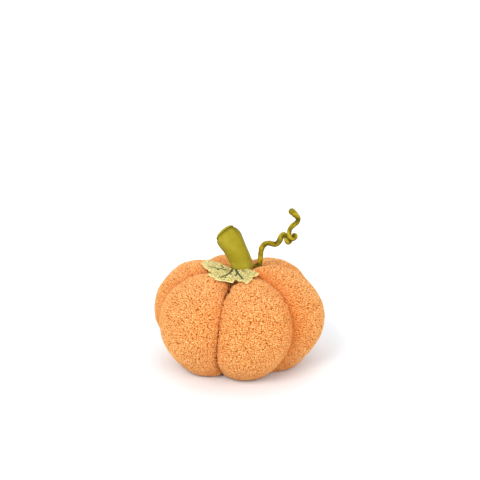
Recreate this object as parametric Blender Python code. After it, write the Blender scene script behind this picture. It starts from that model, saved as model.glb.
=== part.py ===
"""Stuffed fabric pumpkin, about 200 mm across, standing on its six lobes.

Six stuffed gores meet at deep seams round an upright axis. A stuffed cloth
stem leans to the left out of the top dimple, a cut felt leaf is held under
the stem, and a wired cloth tendril curls up beside it.

Metres, +Z up, the front towards -Y. Bearings are in degrees seen from above,
0 at the front (-Y) and positive towards +X. The numbers below are millimetres.
"""
import math

import bmesh
import bpy
import numpy as np
from mathutils import Vector

MM = 0.001
GAP = 0.3                  # clear space between neighbouring pieces
SEAM_ROUND = 6.0           # how far a gore rolls in at its seams
TIP_CLEAR = 1.2            # the gores stop this far from the axis
FOOT_PRESS = 3.0           # how far each lobe is pressed flat by its weight
FOOT_TUCK = 9.0            # how far each lobe's foot is tucked in under its crown
FOOT_TURN = -8.5           # the front seam's foot has been pulled this many degrees aside
FOOT_TURN_TOP = 75.0       # the pull dies out at this height
FOOT_TURN_BEARING = -17.0  # and on the side away from this bearing
LOBE_ROWS = 30             # facets from the bottom dimple over to the top one
LOBE_COLUMNS = 14          # facets from seam to seam
LEAF_THICK = 1.2
LEAF_CLEAR = 0.8           # space under the leaf for the cloth's loops
LEAF_SAG = 0.15            # how far the leaf follows the valleys it bridges
WELL_RADIUS = 14.8         # the gores roll down round the stem's foot
WELL_FLOOR = 114.6
WELL_ROLL = 5.0
TUBE_SIDES = 10

# Each gore: bearing of its middle, bearing of the seam on its right, the
# distance that it stands out from the axis, half its breadth, height of its
# crown, distance of the crown from the axis, height of its widest point, and
# the fullness of its upper and lower halves seen from the side.
LOBES = (
    # name              bearing  seam_right  reach  half   crown  crown_out  belly  top_power  low_power
    ("lobe_front",          14.0,    44.5,   97.4,  50.0,  119.0,   43.0,    61.5,  2.1,       1.93),
    ("lobe_right",          78.0,   106.0,   99.4,  47.5,  122.5,   42.0,    62.0,  1.72,      1.95),
    ("lobe_back_right",    135.0,   164.0,   98.0,  50.0,  117.0,   43.0,    61.0,  2.1,       2.0),
    ("lobe_back",          192.0,   222.0,   98.0,  50.0,  117.5,   43.0,    60.0,  2.1,       2.0),
    ("lobe_back_left",     252.0,   281.0,  104.0,  50.0,  120.8,   43.0,    60.0,  2.1,       2.0),
    ("lobe_front_left",    310.0,   343.0,  104.0,  52.5,  119.0,   43.0,    62.0,  2.1,       2.0),
)
PLAN_POWER = 2.3           # fullness of a lobe seen from above
INNER_RUN = 85.0           # how far the crown's curve runs on towards the axis

# The stem's cross-sections from its foot to its end: centre, lean to the
# left, half width across the lean, half depth from front to back, and lean
# to the back.
STEM = (
    # name        x     depth    z      lean   half_width  half_depth  lean_back
    ("foot",      1.5,   0.0,  115.2,   0.0,    8.0,        8.0,         0.0),
    ("heel",      1.5,   0.0,  117.0,   0.5,   11.2,       11.2,         0.0),
    ("base",      1.4,   0.0,  120.0,   1.8,   12.1,       12.0,         0.5),
    ("low",       0.6,  -0.1,  124.5,   4.4,   12.7,       12.4,         2.0),
    ("waist",    -1.6,  -0.5,  131.6,  12.0,   12.9,       12.5,         5.0),
    ("middle",   -6.0,  -1.8,  141.2,  20.0,   13.5,       12.9,        10.0),
    ("upper",    -9.8,  -3.4,  147.8,  25.6,   14.6,       13.6,        14.5),
    ("shoulder",-12.9,  -5.2,  153.2,  29.5,   15.1,       13.9,        18.0),
    ("lip",     -15.4,  -6.7,  156.4,  36.5,   14.4,       13.5,        20.0),
    ("end",     -17.6,  -8.1,  158.3,  47.0,   12.6,       12.3,        21.5),
)
STEM_SIDES = 20
END_RADII = (12.6, 12.3)   # the round sewn in the stem's end
END_THICK = 1.2
END_PUFF = 2.2

# The leaf's edge: bearing and distance of each point and notch from the
# middle of the stem's foot, and how far the edge curls up there.
LEAF_HUB = (1.2, 0.0)      # x, and distance towards the front
LEAF_ROOT = 13.1           # the leaf's root is cut round the stem
LEAF_ROOT_ARC = (-86.0, 43.0)
LEAF_DIP = 1.0             # how far it sinks at its root
LEAF_EDGE = (
    # name               bearing  reach  curl
    ("back_left_tooth",   -113.5,  45.4,  0.3),
    ("back_left_side",    -102.5,  44.6,  0.1),
    ("back_left_tip",      -92.5,  46.8,  0.3),
    ("back_left_under",    -74.0,  41.6,  0.1),
    ("left_notch",         -60.5,  38.0,  0.0),
    ("left_tip",           -57.3,  47.4,  0.4),
    ("left_hollow",        -48.5,  47.3,  0.0),
    ("front_left_edge",    -37.4,  51.2,  0.0),
    ("front_left_tooth",   -31.0,  54.4,  0.2),
    ("front_left_hollow",  -21.5,  51.0,  0.0),
    ("front_left_tip",     -11.2,  54.2,  0.2),
    ("front_notch",         -8.9,  44.4,  0.0),
    ("front_tooth",         -4.2,  51.2,  0.2),
    ("front_hollow",         2.4,  51.8,  0.0),
    ("front_right_tip",      6.0,  56.8,  0.2),
    ("front_right_edge",    11.2,  50.0,  0.1),
    ("right_tooth",         16.2,  46.0,  0.1),
    ("right_notch",         18.8,  39.8,  0.0),
    ("right_tip",           34.5,  34.6,  0.3),
    ("right_root",          43.5,  19.0,  0.1),
)
LEAF_RINGS = 6
LEAF_STEPS = 2             # facets between two rows of the edge table

# The tendril's bends, in order along its wire.
TENDRIL = (
    # name             x      depth    z     radius
    ("foot",          15.4,   -8.6,   118.0,  2.8),
    ("root",          19.6,   -8.0,   118.3,  2.9),
    ("knee",          22.4,   -7.4,   120.6,  3.0),
    ("stalk_low",     23.2,   -6.2,   127.6,  3.1),
    ("stalk",         24.4,   -4.2,   140.0,  3.1),
    ("shoulder",      26.5,   -3.0,   145.2,  3.1),
    ("first_crest",   30.1,   -1.5,   148.8,  3.0),
    ("first_run",     34.9,    0.0,   149.2,  2.9),
    ("first_dip",     40.1,    1.0,   148.2,  2.9),
    ("rise",          44.0,    1.0,   150.3,  3.2),
    ("second_rise",   46.2,    0.0,   154.7,  3.3),
    ("second_crest",  48.0,   -1.0,   158.2,  3.0),
    ("crest_end",     50.9,   -1.6,   159.7,  2.7),
    ("drop",          53.0,   -0.6,   156.8,  2.7),
    ("drop_low",      53.6,    0.8,   152.8,  2.8),
    ("curl_foot",     56.2,   -1.8,   149.6,  2.7),
    ("curl_behind",   60.0,   -5.6,   152.6,  2.6),
    ("curl_right",    63.0,   -4.6,   157.6,  2.6),
    ("curl_round",    64.0,    0.0,   156.8,  2.6),
    ("curl_front",    60.8,    4.4,   155.6,  2.6),
    ("curl_cross",    57.5,    5.4,   158.6,  2.7),
    ("neck_low",      56.2,    4.2,   162.6,  2.7),
    ("neck",          56.9,    2.5,   166.1,  2.8),
    ("neck_bend",     59.2,    1.0,   169.4,  2.8),
    ("hook_low",      62.9,   -0.5,   172.1,  2.9),
    ("hook_rise",     65.9,   -1.5,   174.7,  2.9),
    ("hook_side",     67.0,   -2.0,   177.8,  2.9),
    ("hook_top",      65.8,   -1.0,   181.2,  3.0),
    ("hook_over",     62.8,    1.0,   184.8,  3.6),
    ("bulb",          59.4,    2.8,   188.4,  4.0),
)
TENDRIL_POINTS = 76

COLOURS = {
    # name      red   green  blue   roughness
    "teddy":   (0.88, 0.36,  0.10,  0.95),
    "stem":    (0.42, 0.34,  0.035, 0.75),
    "felt":    (0.60, 0.53,  0.20,  0.90),
    "cord":    (0.46, 0.36,  0.04,  0.80),
}


def clear_scene():
    for thing in list(bpy.data.objects):
        bpy.data.objects.remove(thing, do_unlink=True)


def material(name):
    red, green, blue, rough = COLOURS[name]
    mat = bpy.data.materials.get(name) or bpy.data.materials.new(name)
    mat.use_nodes = True
    shader = next(n for n in mat.node_tree.nodes if n.type == "BSDF_PRINCIPLED")
    shader.inputs["Base Color"].default_value = (red, green, blue, 1.0)
    shader.inputs["Roughness"].default_value = rough
    shader.inputs["Metallic"].default_value = 0.0
    return mat


def build(name, points, faces, finish, smooth=35.0):
    """A closed mesh object from millimetre points, faces turned outwards."""
    mesh = bpy.data.meshes.new(name)
    mesh.from_pydata([tuple(float(c) * MM for c in p) for p in points], [], faces)
    bm = bmesh.new()
    bm.from_mesh(mesh)
    bmesh.ops.remove_doubles(bm, verts=bm.verts, dist=1e-6)
    bmesh.ops.triangulate(bm, faces=bm.faces)
    bmesh.ops.recalc_face_normals(bm, faces=bm.faces)
    if bm.calc_volume(signed=True) < 0:
        bmesh.ops.reverse_faces(bm, faces=bm.faces)
    bm.to_mesh(mesh)
    bm.free()
    mesh.shade_smooth()
    mesh.set_sharp_from_angle(angle=math.radians(smooth))
    mesh.materials.append(material(finish))
    thing = bpy.data.objects.new(name, mesh)
    bpy.context.scene.collection.objects.link(thing)
    return thing


def lobe_rows():
    """Each gore's sizes, with the bearing of the seam on its left added."""
    keys = ("name", "bearing", "seam_right", "reach", "half", "crown", "crown_out", "belly", "top_power",
            "low_power")
    rows = [dict(zip(keys, row)) for row in LOBES]
    for i, row in enumerate(rows):
        before = rows[i - 1]["seam_right"]
        row["seam_left"] = before - 360.0 if before > row["bearing"] else before
    return rows


def lobe_level(row, out, turn, height):
    """Below 1 inside the gore's full shape, above 1 outside. The turn is the
    bearing from the gore's middle in radians."""
    rise = height - row["belly"]
    down = min(max(-rise / row["belly"], 0.0), 1.0)
    middle = row["crown_out"] - FOOT_TUCK * down * down * (3 - 2 * down)
    u = out * math.cos(turn) - middle
    v = abs(out * math.sin(turn)) / row["half"]
    u = u / (row["reach"] - middle) if u > 0 else -u / INNER_RUN
    plan = u ** PLAN_POWER + v ** PLAN_POWER
    if rise > 0:
        power, side = row["top_power"], rise / (row["crown"] - row["belly"])
    else:
        power, side = row["low_power"], -rise / (row["belly"] + FOOT_PRESS)
    return plan ** (power / PLAN_POWER) + side ** power


def lobe_point(row, turn, angle, seam_gap):
    """Where a ray from inside the gore meets its surface, in its upright
    plane: distance from the axis and height."""
    start = row["crown_out"] * 0.92
    low, high = 0.0, 160.0
    for _ in range(34):
        mid = 0.5 * (low + high)
        out = start + mid * math.cos(angle)
        if lobe_level(row, abs(out), turn if out > 0 else 0.0, row["belly"] + mid * math.sin(angle)) < 1:
            low = mid
        else:
            high = mid
    run = low
    out = start + run * math.cos(angle)
    side = max(0.0, max(out, 0.0) * math.sin(seam_gap))
    if side < SEAM_ROUND:
        run -= SEAM_ROUND - math.sqrt(SEAM_ROUND ** 2 - (SEAM_ROUND - side) ** 2)
    return start + run * math.cos(angle), row["belly"] + run * math.sin(angle)


def lobe_profile(row, bearing, rows=LOBE_ROWS):
    """The gore's outline at one bearing, from the bottom dimple round to the
    top one, clipped flat at the floor."""
    turn = math.radians(bearing - row["bearing"])
    to_seam = math.radians(min(row["seam_right"] - bearing, bearing - row["seam_left"]))

    def end(sign):
        near, far = math.radians(90.0), math.radians(179.0)
        for _ in range(30):
            mid = 0.5 * (near + far)
            if lobe_point(row, turn, sign * mid, to_seam)[0] > TIP_CLEAR:
                near = mid
            else:
                far = mid
        return sign * near

    first, last = end(-1.0), end(1.0)
    points = []
    for k in range(rows + 1):
        angle = first + (last - first) * k / rows
        out, height = lobe_point(row, turn, angle, to_seam)
        out = max(out, TIP_CLEAR)
        points.append((out, min(max(height, 0.0), well(out))))
    return points


def well(out):
    """The most height that the cloth has round the stem's foot."""
    past = out - WELL_RADIUS
    if past <= 0:
        return WELL_FLOOR
    if past >= WELL_ROLL:
        return 200.0
    return WELL_FLOOR + 9.0 * (1.0 - math.sqrt(1.0 - (past / WELL_ROLL) ** 2)) + 1.2 * past


def turned(x, y, height):
    """A point of the cloth after the lobes' feet have been pulled aside."""
    low = min(max(1.0 - height / FOOT_TURN_TOP, 0.0), 1.0)
    near = 0.5 + 0.5 * math.cos(math.atan2(x, -y) - math.radians(FOOT_TURN_BEARING))
    turn = math.radians(FOOT_TURN) * near * low ** 1.5
    return x * math.cos(turn) - y * math.sin(turn), x * math.sin(turn) + y * math.cos(turn), height


def lobe(row):
    """One stuffed gore: its outside from seam to seam, and the two flat sides
    that its neighbours press against."""
    left, right = row["seam_left"], row["seam_right"]
    middle = row["bearing"]
    columns = []
    half = LOBE_COLUMNS // 2
    for k in range(-half, half + 1):
        share = math.sin(abs(k) / half * math.pi / 2) ** 0.9
        edge = right if k > 0 else left
        columns.append(middle + (edge - middle) * share)
    points, grid = [], []
    for bearing in columns:
        beta = math.radians(bearing)
        shift = 0.0
        if bearing == left:
            shift = GAP / 2
        elif bearing == right:
            shift = -GAP / 2
        line = []
        for out, height in lobe_profile(row, bearing):
            x = out * math.sin(beta) + shift * math.cos(beta)
            y = -out * math.cos(beta) + shift * math.sin(beta)
            line.append(len(points))
            points.append(turned(x, y, height))
        grid.append(line)
    faces = []
    rows = len(grid[0])
    for a, b in zip(grid, grid[1:]):
        for k in range(rows - 1):
            faces.append((a[k], b[k], b[k + 1], a[k + 1]))
    # flat sides, each a fan about a point well inside its outline
    for line in (grid[0], grid[-1]):
        ring = [points[i] for i in line]
        centre = tuple(sum(p[j] for p in ring) / len(ring) for j in range(3))
        hub = len(points)
        points.append(centre)
        loop = line + [line[0]]
        for p, q in zip(loop, loop[1:]):
            faces.append((hub, p, q))
    # the narrow inner edge by the axis
    bottom, top = [line[0] for line in grid], [line[-1] for line in grid]
    for k in range(len(grid) - 1):
        faces.append((bottom[k], bottom[k + 1], top[k + 1], top[k]))
    return build(row["name"], points, faces, "teddy")


def top_heights(rows):
    """Tables of the lobes' upper surface, by bearing and distance."""
    reaches = np.linspace(TIP_CLEAR, 96.0, 49)
    tables = {}
    for row in rows:
        def table(bearing):
            line = lobe_profile(row, bearing, 90)
            upper = [p for p in line if p[1] > row["belly"]]
            upper.sort()
            return np.interp(reaches, [p[0] for p in upper], [p[1] for p in upper])
        steps = np.linspace(row["seam_left"], row["seam_right"], 17)
        tables[row["name"]] = (steps, np.array([table(b) for b in steps]), table(row["bearing"]))
    return reaches, tables


def surface_height(rows, heights, x, front):
    """Height of the cloth under a point, and of a stiff sheet laid across
    the crowns there."""
    reaches, tables = heights
    out = math.hypot(x, front)
    bearing = math.degrees(math.atan2(x, front))
    for row in rows:
        for turn in (-360.0, 0.0, 360.0):
            b = bearing + turn
            if row["seam_left"] <= b <= row["seam_right"]:
                steps, table, _ = tables[row["name"]]
                columns = [np.interp(out, reaches, line) for line in table]
                cloth = float(np.interp(b, steps, columns))
                here, local = row, b
    index = rows.index(here)
    after = rows[(index + 1) % len(rows)]
    before = rows[index - 1]
    mid = here["bearing"]
    if local >= mid:
        span = (after["bearing"] - mid) % 360.0
        other, share = after, (local - mid) / span
    else:
        span = (mid - before["bearing"]) % 360.0
        other, share = before, (mid - local) / span

    def crown(r):
        if out < r["crown_out"]:
            return r["crown"] - LEAF_DIP * (1 - out / r["crown_out"])
        return float(np.interp(out, reaches, tables[r["name"]][2]))

    bridge = (1 - share) * crown(here) + share * crown(other)
    return cloth, max(bridge, cloth)


def leaf_edge():
    """The leaf's edge as (bearing, reach, curl), with soft curves between
    the rows of the table."""
    rows = sorted(LEAF_EDGE, key=lambda r: r[1])
    edge = []
    for (_, bearing, reach, curl), (_, bearing_2, reach_2, curl_2) in zip(rows, rows[1:]):
        for k in range(LEAF_STEPS):
            t = k / LEAF_STEPS
            bow = 0.4 * math.sin(math.pi * t)
            edge.append((bearing + (bearing_2 - bearing) * t, reach + (reach_2 - reach) * t + bow,
                         curl + (curl_2 - curl) * t * t * (3 - 2 * t)))
    edge.append(rows[-1][1:])
    return edge


def leaf(rows, heights):
    """The felt leaf, laid across the crowns with its root round the stem."""
    edge = leaf_edge()
    hub_x, hub_front = LEAF_HUB

    def spot(start, bearing, reach, share, curl):
        root, beta = math.radians(start), math.radians(bearing)
        x = hub_x + LEAF_ROOT * math.sin(root) * (1 - share) + reach * math.sin(beta) * share
        front = hub_front + LEAF_ROOT * math.cos(root) * (1 - share) + reach * math.cos(beta) * share
        cloth, bridge = surface_height(rows, heights, x, front)
        rest = bridge * (1 - LEAF_SAG) + cloth * LEAF_SAG
        swell = 0.6 * math.sin(0.17 * x + 0.4) * math.sin(0.14 * front) * share
        return x, -front, max(rest, cloth) + LEAF_CLEAR + curl * share ** 3 + max(0.0, swell)

    count = len(edge)
    first, last = LEAF_ROOT_ARC
    starts = [first + (last - first) * k / (count - 1) for k in range(count)]
    grid = []
    for ring in range(LEAF_RINGS + 1):
        share = (ring / LEAF_RINGS) ** 0.9
        grid.append([spot(s, b, r, share, c) for s, (b, r, c) in zip(starts, edge)])
    lower = [p for line in grid for p in line]
    upper = [(x, y, z + LEAF_THICK) for x, y, z in lower]
    points = upper + lower
    base = len(upper)
    faces = []
    for ring in range(LEAF_RINGS):
        a, b = ring * count, (ring + 1) * count
        for k in range(count - 1):
            faces.append((a + k, a + k + 1, b + k + 1, b + k))
            faces.append((base + a + k, base + b + k, base + b + k + 1, base + a + k + 1))
        for k, order in ((0, 1), (count - 1, -1)):
            faces.append((a + k, b + k, base + b + k, base + a + k)[::order])
    outer = LEAF_RINGS * count
    for k in range(count - 1):
        faces.append((outer + k, outer + k + 1, base + outer + k + 1, base + outer + k))
        faces.append((k + 1, k, base + k, base + k + 1))
    return build("leaf", points, faces, "felt", smooth=50.0)


def stem_way(lean, lean_back):
    """The way that the stem runs, leaning to the left and to the back."""
    side, rear = math.radians(lean), math.radians(lean_back)
    return Vector((-math.sin(side) * math.cos(rear), math.sin(rear), math.cos(side) * math.cos(rear)))


def stem_section(row, sides=STEM_SIDES):
    """Points round one cross-section of the stem, tilted by its lean."""
    _, x, depth, z, lean, half_width, half_depth, lean_back = row
    across = Vector((math.cos(math.radians(lean)), 0.0, math.sin(math.radians(lean))))
    back = stem_way(lean, lean_back).cross(across)
    centre = Vector((x, -depth, z))
    ring = []
    for k in range(sides):
        angle = 2 * math.pi * k / sides
        ring.append(centre + across * (half_width * math.cos(angle)) + back * (half_depth * math.sin(angle)))
    return ring


def smooth_rows(rows, steps):
    """Rows of numbers with a smooth curve through them (Catmull-Rom)."""
    values = np.array([row[1:] for row in rows], dtype=float)
    padded = np.vstack([2 * values[0] - values[1], values, 2 * values[-1] - values[-2]])
    result = []
    for i in range(1, len(padded) - 2):
        p0, p1, p2, p3 = padded[i - 1:i + 3]
        for k in range(steps):
            t = k / steps
            result.append(0.5 * (2 * p1 + (p2 - p0) * t + (2 * p0 - 5 * p1 + 4 * p2 - p3) * t ** 2
                                 + (3 * p1 - p0 - 3 * p2 + p3) * t ** 3))
    result.append(values[-1])
    return np.array(result)


def loft(name, rings, finish, start_dome=0.0, end_dome=0.0, smooth=50.0):
    """A closed skin over rings of points, its ends closed by low domes."""
    points = [tuple(p) for ring in rings for p in ring]
    sides = len(rings[0])
    faces = []
    for i in range(len(rings) - 1):
        for k in range(sides):
            n = (k + 1) % sides
            faces.append((i * sides + k, i * sides + n, (i + 1) * sides + n, (i + 1) * sides + k))
    for ring, inner, dome, flip in ((0, 1, start_dome, True), (len(rings) - 1, len(rings) - 2, end_dome, False)):
        centre = sum((Vector(p) for p in rings[ring]), Vector()) / sides
        before = sum((Vector(p) for p in rings[inner]), Vector()) / sides
        way = (centre - before).normalized()
        hub = len(points)
        points.append(tuple(centre + way * dome))
        for k in range(sides):
            n = (k + 1) % sides
            face = (hub, ring * sides + n, ring * sides + k)
            faces.append(face if flip else face[::-1])
    return build(name, points, faces, finish, smooth)


def stem():
    rows = smooth_rows(STEM, 2)
    return loft("stem", [stem_section(("", *row)) for row in rows], "stem")


def stem_end():
    """The puffed round of cloth sewn in the stem's end, a gap off its face."""
    _, x, depth, z, lean, _, _, lean_back = STEM[-1]
    way = stem_way(lean, lean_back)
    rings = []
    for share, rise in ((0.94, 0.0), (1.0, 0.45), (0.98, 1.0), (0.86, 1.0), (0.62, 1.0), (0.32, 1.0)):
        dome = END_THICK * rise + (END_PUFF * (1 - share ** 2) if rise == 1.0 else 0.0)
        centre = Vector((x, -depth, z)) + way * (GAP + dome)
        row = ("", centre.x, -centre.y, centre.z, lean,
               END_RADII[0] * share, END_RADII[1] * share, lean_back)
        rings.append(stem_section(row))
    return loft("stem_end", rings, "stem", 0.0, 0.25)


def tendril():
    """The wired tube along its bends, closed by a rounded bulb."""
    rows = smooth_rows(TENDRIL, 12)
    path = rows[:, :3] * np.array([1.0, -1.0, 1.0])
    run = np.concatenate([[0.0], np.cumsum(np.linalg.norm(np.diff(path, axis=0), axis=1))])
    stations = np.linspace(0.0, run[-1], TENDRIL_POINTS)
    centre = np.array([[np.interp(s, run, path[:, j]) for j in range(3)] for s in stations])
    radius = np.array([np.interp(s, run, rows[:, 3]) for s in stations])
    ways = np.gradient(centre, axis=0)
    ways /= np.linalg.norm(ways, axis=1)[:, None]
    side = np.cross(ways[0], [0.0, 1.0, 0.0])
    rings = []
    for point, way, size in zip(centre, ways, radius):
        side = side - way * np.dot(side, way)
        side /= np.linalg.norm(side)
        other = np.cross(way, side)
        rings.append([Vector(point + size * (math.cos(a) * side + math.sin(a) * other))
                      for a in (2 * math.pi * k / TUBE_SIDES for k in range(TUBE_SIDES))])
    # the rounded end past the last bend
    way, point, size = ways[-1], centre[-1], radius[-1]
    for share in (0.35, 0.65, 0.88):
        small = size * math.sqrt(1 - share ** 2)
        rings.append([Vector(point + way * size * share + small * (math.cos(a) * side + math.sin(a) * other))
                      for a in (2 * math.pi * k / TUBE_SIDES for k in range(TUBE_SIDES))])
    return loft("tendril", rings, "cord", 0.0, 0.4)


def centre_on_floor(things):
    """Puts the origin under the middle of the whole object, on the floor."""
    low, high = np.full(3, 1e9), np.full(3, -1e9)
    for thing in things:
        xyz = np.array([tuple(v.co) for v in thing.data.vertices])
        low, high = np.minimum(low, xyz.min(axis=0)), np.maximum(high, xyz.max(axis=0))
    shift = Vector((-(low[0] + high[0]) / 2, -(low[1] + high[1]) / 2, -low[2]))
    for thing in things:
        for vertex in thing.data.vertices:
            vertex.co += shift
    return shift


def main():
    clear_scene()
    rows = lobe_rows()
    heights = top_heights(rows)
    things = [lobe(row) for row in rows]
    things += [stem(), stem_end(), leaf(rows, heights), tendril()]
    shift = centre_on_floor(things)
    return things, shift


THINGS, SHIFT = main()
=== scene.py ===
"""Looks of the stuffed fabric pumpkin: looped teddy cloth gores, a woven cloth
stem, a felt leaf and a wired cloth tendril, on a plain pale floor.

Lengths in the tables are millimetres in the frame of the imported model.
Bearings are degrees seen from above, 0 at the front (-Y), positive to +X.
"""
import math

import bpy
import numpy as np
from mathutils import Matrix, Vector
from mathutils.bvhtree import BVHTree


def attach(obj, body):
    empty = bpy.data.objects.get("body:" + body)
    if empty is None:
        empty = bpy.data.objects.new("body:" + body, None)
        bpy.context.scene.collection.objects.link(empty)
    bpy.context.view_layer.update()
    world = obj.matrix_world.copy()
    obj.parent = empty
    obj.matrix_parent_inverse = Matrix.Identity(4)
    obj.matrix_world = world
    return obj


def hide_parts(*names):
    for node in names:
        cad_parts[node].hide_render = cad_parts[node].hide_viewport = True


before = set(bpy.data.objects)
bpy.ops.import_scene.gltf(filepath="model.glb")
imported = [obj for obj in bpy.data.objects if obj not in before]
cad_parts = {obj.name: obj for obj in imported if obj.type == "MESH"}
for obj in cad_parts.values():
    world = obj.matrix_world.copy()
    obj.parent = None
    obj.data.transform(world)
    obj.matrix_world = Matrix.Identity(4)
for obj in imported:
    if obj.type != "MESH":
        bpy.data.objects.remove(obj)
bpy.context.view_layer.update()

MM = 0.001
rng = np.random.default_rng(20)

# ------------------------------------------------------------------ sizes
AXIS = (1.597, -0.386)         # where the pumpkin's upright axis stands
AIM = (0.664, -0.573)          # the point of the floor under the picture's middle
FLOOR_Z = 0.0
LOOP_CELL = 2.45               # spacing of the cloth's loops
LOOP_HIGH = 2.45               # from the gaps between loops to their tips
EDGE_STEP = 0.56               # spacing of the points of the looped surface

LOBES = (
    # name              bearing  seam_right  reach  half   crown  crown_out  belly  top_power  low_power  pull_right
    ("lobe_front",          14.0,    44.5,   97.4,  50.0,  119.0,   43.0,    61.5,  2.1,       1.93,      0.9),
    ("lobe_right",          78.0,   106.0,   99.4,  47.5,  122.5,   42.0,    62.0,  1.72,      1.95,      0.8),
    ("lobe_back_right",    135.0,   164.0,   98.0,  50.0,  117.0,   43.0,    61.0,  2.1,       2.0,       0.8),
    ("lobe_back",          192.0,   222.0,   98.0,  50.0,  117.5,   43.0,    60.0,  2.1,       2.0,       0.8),
    ("lobe_back_left",     252.0,   281.0,  104.0,  50.0,  120.8,   43.0,    60.0,  2.1,       2.0,       0.8),
    ("lobe_front_left",    310.0,   343.0,  104.0,  52.5,  119.0,   43.0,    62.0,  2.1,       2.0,       1.3),
)
SEAM_ROUND = 6.0
SEAM_BRIDGE = 0.4              # pile from both sides fills the seam up to this depth

# How far the lower side of a gore is drawn in, how far its weight spreads its
# foot, and how deep the painted shade is in its left and right fold.
TUCKS = {"lobe_right": 2.2, "lobe_front_left": 2.0, "lobe_front": 0.5}
SPREADS = {"lobe_front": 0.9}
FOLD_SHADE = {"lobe_right": (1.9, 1.0), "lobe_front": (0.60, 1.9), "lobe_front_left": (1.0, 0.60)}
TIP_CLEAR = 1.2
FOOT_PRESS = 3.0
FOOT_TUCK = 9.0
FOOT_TURN = -8.5
FOOT_TURN_TOP = 75.0
FOOT_TURN_BEARING = -17.0
PLAN_POWER = 2.3
INNER_RUN = 85.0
WELL = (12.6, 114.6, 4.0)      # radius, floor height and roll of the dimple at the stem
# Hollows where the seam's gathering pulls the cloth in, under the leaf.
HOLLOWS = (
    # name            x     depth  radius  deep  shade
    ("notch",        -7.0,   41.2,   4.4,   5.0,  1.0),
    ("gather",      -13.5,   50.0,   5.0,   2.0,  0.0),
    ("gather_left", -19.5,   51.5,   6.0,   1.9,  0.0),
    ("gather_low",  -16.0,   60.0,   5.0,   0.6,  0.0),
    ("edge_left",   -27.0,   49.0,   4.5,   1.4,  0.0),
    ("left_slit",   -32.8,   22.6,   3.0,   2.8,  1.0),
    ("right_slit",   15.8,   37.4,   2.8,   3.0,  1.0),
    ("front_slit",    0.0,   53.5,   3.4,   2.0,  0.2),
    ("edge_right",   11.8,   50.0,   3.4,   1.6,  0.0),
)

STEM = (
    # name        x     depth    z      lean   half_width  half_depth  lean_back
    ("foot",      1.5,   0.0,  115.2,   0.0,    8.0,        8.0,         0.0),
    ("heel",      1.5,   0.0,  117.0,   0.5,   11.2,       11.2,         0.0),
    ("base",      1.4,   0.0,  120.0,   1.8,   12.1,       12.0,         0.5),
    ("low",       0.6,  -0.1,  124.5,   4.4,   12.7,       12.4,         2.0),
    ("waist",    -1.6,  -0.5,  131.6,  12.0,   12.9,       12.5,         5.0),
    ("middle",   -6.0,  -1.8,  141.2,  20.0,   13.5,       12.9,        10.0),
    ("upper",    -9.8,  -3.4,  147.8,  25.6,   14.6,       13.6,        14.5),
    ("shoulder",-12.9,  -5.2,  153.2,  29.5,   15.1,       13.9,        18.0),
    ("lip",     -15.4,  -6.7,  156.4,  36.5,   14.4,       13.5,        23.0),
    ("end",     -17.3,  -8.3,  158.1,  46.0,   12.6,       12.3,        30.0),
)
END_RADII = (12.7, 12.4)

LEAF_HUB = (1.2, 0.0)
LEAF_ROOT = 13.1
LEAF_ROOT_ARC = (-72.0, 39.0)
LEAF_THICK = 1.2
# The cut edge of the leaf, from its back left tooth round the front to its
# root on the right. Sharp points are tips and notches.
LEAF_EDGE = (
    # name                  x     depth  sharp
    ("back_left_tooth",    -40.1,   -15.6,  1),
    ("back_left_side",     -43.0,    -8.6,  0),
    ("back_left_tip",      -45.6,    -1.2,  1),
    ("left_under",       -42.3,    4.3,  0),
    ("left_under_2",     -38.9,   11.7,  0),
    ("left_under_3",     -36.2,   17.5,  0),
    ("left_notch",       -30.0,   20.7,  1),
    ("left_tip",           -38.4,    29.2,  1),
    ("left_side",          -34.2,    33.6,  0),
    ("left_side_2",        -31.8,    37.2,  0),
    ("left_side_3",      -30.0,   40.8,  0),
    ("left_corner",      -29.3,   44.6,  1),
    ("front_left",       -26.4,   47.0,  0),
    ("front_left_2",     -22.0,   47.9,  0),
    ("front_left_3",     -17.7,   47.5,  0),
    ("front_left_4",     -14.4,   48.4,  0),
    ("front_left_tip",      -9.3,    53.9,  1),
    ("front_left_back",   -7.9,   50.5,  0),
    ("front_notch",       -6.3,   44.0,  1),
    ("front_slit",        -3.9,   45.8,  0),
    ("front_tooth",       -2.9,   51.0,  1),
    ("front",              0.0,   51.7,  0),
    ("front_2",            2.9,   52.2,  0),
    ("front_right_tip",      6.9,    58.9,  1),
    ("front_right",          9.2,    55.4,  0),
    ("front_right_2",     11.0,   48.4,  0),
    ("right_tooth",       13.9,   44.3,  1),
    ("right_notch",         11.8,    38.2,  1),
    ("right_side",          18.3,    36.0,  0),
    ("right_tip",           20.9,    30.4,  1),
    ("right_root",          17.0,    20.6,  0),
    ("right_root_2",        14.6,    16.8,  0),
)
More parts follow.
